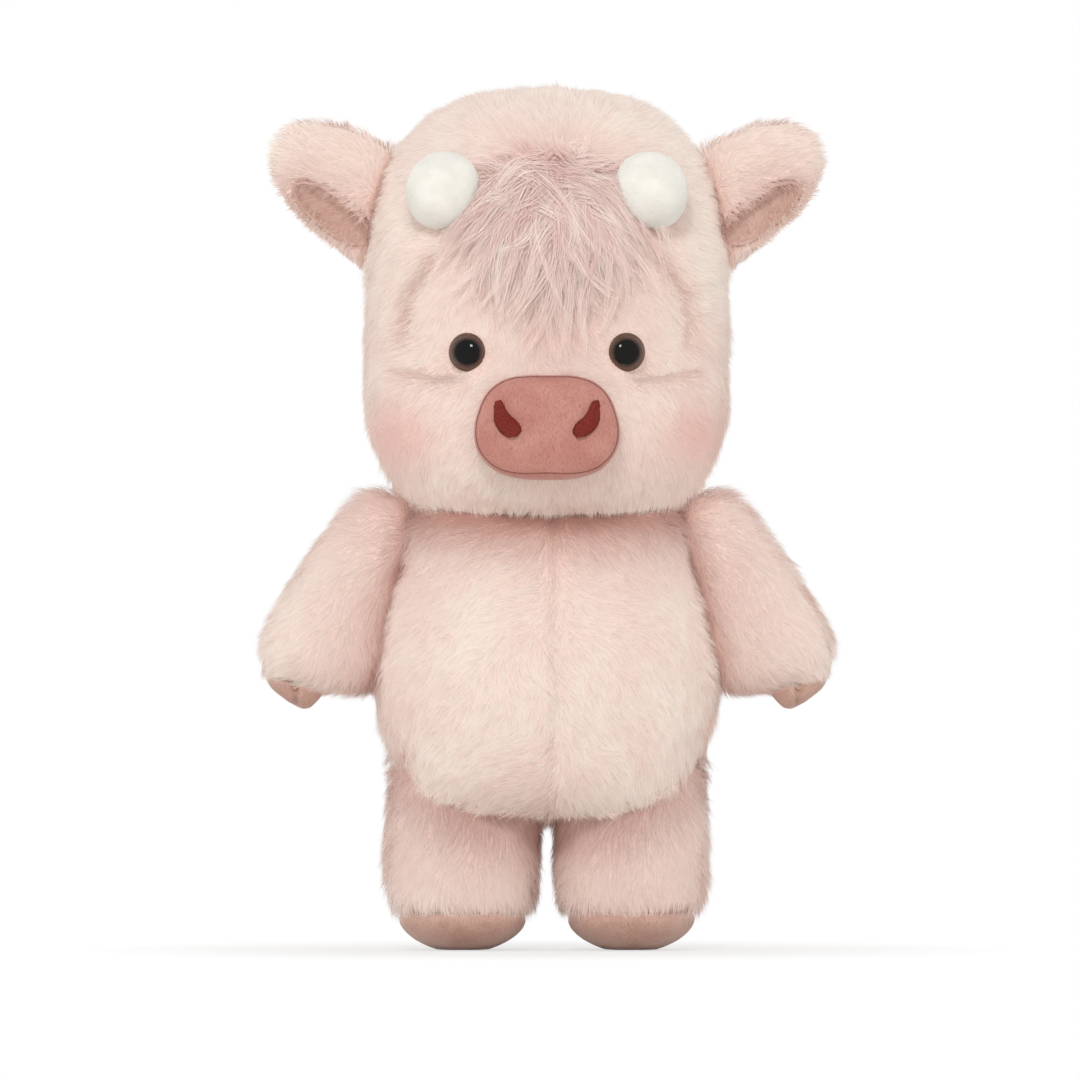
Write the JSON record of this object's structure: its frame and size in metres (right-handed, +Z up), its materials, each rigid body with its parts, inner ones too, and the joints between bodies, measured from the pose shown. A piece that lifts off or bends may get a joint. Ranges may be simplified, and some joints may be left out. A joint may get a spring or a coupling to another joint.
{
  "type": "interactive plush calf",
  "caption": "Standing stuffed calf toy of pale pink fur cloth with turning head, swinging arms and legs, flapping ears and a squeeze-to-sound box in the belly",
  "frame": {"origin": "middle of the toy's bounding box, on the floor it stands on", "axes": "+Z up, the face looks along -Y, the toy's own left is +X"},
  "size_m": [0.1944, 0.134, 0.2883],
  "materials": {
    "fur_cloth": "matte",
    "long_pile": "matte",
    "short_pile_pink": "matte",
    "short_pile_brown": "matte",
    "embroidery_thread": "satin",
    "white_velvet": "matte",
    "ear_cloth": "matte",
    "eye_plastic": "gloss",
    "joint_nylon": "satin",
    "case_plastic": "satin",
    "cap_plastic": "satin",
    "black_plastic": "matte",
    "board_laminate": "satin",
    "steel": "satin",
    "closure_tape": "matte"
  },
  "bodies": {
    "torso": {"neck_washer": "joint_nylon", "shoulder_washer_left": "joint_nylon", "shoulder_washer_right": "joint_nylon", "case_back": "case_plastic", "case_front": "case_plastic", "circuit_board": "board_laminate", "tact_switch": "black_plastic", "return_spring": "steel", "speaker": "black_plastic", "battery_cell_1": "steel", "battery_cell_2": "steel", "battery_cell_3": "steel", "contact_positive": "steel", "contact_negative": "steel", "battery_door": "case_plastic", "battery_door_screw": "steel", "case_screw_1": "steel", "case_screw_2": "steel", "loop_tape": "closure_tape", "hook_tape": "closure_tape", "body": "fur_cloth"},
    "head": {"head": "fur_cloth", "muzzle": "short_pile_pink", "nostril_left": "embroidery_thread", "nostril_right": "embroidery_thread", "eye_left": "eye_plastic", "eye_right": "eye_plastic", "eye_washer_left": "joint_nylon", "eye_washer_right": "joint_nylon", "horn_left": "white_velvet", "horn_right": "white_velvet", "forelock": "long_pile", "neck_stud": "joint_nylon", "neck_lock_nut": "joint_nylon"},
    "press_cap": {"press_cap": "cap_plastic"},
    "tail": {"tail": "fur_cloth", "tail_tuft": "long_pile"},
    "ear_left": {"ear_left": "fur_cloth", "ear_lining_left": "ear_cloth"},
    "arm_left": {"arm_left": "fur_cloth", "hand_hoof_left": "short_pile_brown", "shoulder_stud_left": "joint_nylon", "shoulder_lock_nut_left": "joint_nylon"},
    "leg_left": {"leg_left": "fur_cloth", "foot_hoof_left": "short_pile_brown"},
    "ear_right": {"ear_right": "fur_cloth", "ear_lining_right": "ear_cloth"},
    "arm_right": {"arm_right": "fur_cloth", "hand_hoof_right": "short_pile_brown", "shoulder_stud_right": "joint_nylon", "shoulder_lock_nut_right": "joint_nylon"},
    "leg_right": {"leg_right": "fur_cloth", "foot_hoof_right": "short_pile_brown"}
  },
  "joints": [
    {"name": "neck_turn", "type": "hinge", "parent": "torso", "child": "head", "pos_m": [0, 0.0021, 0.146], "axis": [0, 0, 1], "range_deg": [-60, 60]},
    {"name": "shoulder_left", "type": "hinge", "parent": "torso", "child": "arm_left", "pos_m": [0.04797, 0.0021, 0.12947], "axis": [-0.9724, 0, -0.2334], "range_deg": [-40, 60]},
    {"name": "shoulder_right", "type": "hinge", "parent": "torso", "child": "arm_right", "pos_m": [-0.04797, 0.0021, 0.12947], "axis": [-0.9724, 0, 0.2334], "range_deg": [-40, 60]},
    {"name": "hip_left", "type": "hinge", "parent": "torso", "child": "leg_left", "pos_m": [0.0282, 0.0021, 0.044], "axis": [-1, 0, 0], "range_deg": [-15, 15]},
    {"name": "hip_right", "type": "hinge", "parent": "torso", "child": "leg_right", "pos_m": [-0.0282, 0.0021, 0.044], "axis": [-1, 0, 0], "range_deg": [-15, 15]},
    {"name": "ear_flap_left", "type": "hinge", "parent": "head", "child": "ear_left", "pos_m": [0.0569, 0.0021, 0.24854], "axis": [0, -0.2419, 0.9703], "range_deg": [-15, 20], "stiffness_Nm_per_rad": 0.03},
    {"name": "ear_flap_right", "type": "hinge", "parent": "head", "child": "ear_right", "pos_m": [-0.0569, 0.0021, 0.24854], "axis": [0, 0.2419, -0.9703], "range_deg": [-15, 20], "stiffness_Nm_per_rad": 0.03},
    {"name": "tail_swing", "type": "hinge", "parent": "torso", "child": "tail", "pos_m": [0, 0.0491, 0.0851], "axis": [1, 0, 0], "range_deg": [-5, 40], "stiffness_Nm_per_rad": 0.02},
    {"name": "belly_press", "type": "slide", "parent": "torso", "child": "press_cap", "axis": [0, 1, 0], "range_m": [0, 0.0015], "stiffness_N_per_m": 800, "deforming": ["return_spring"]}
  ]
}
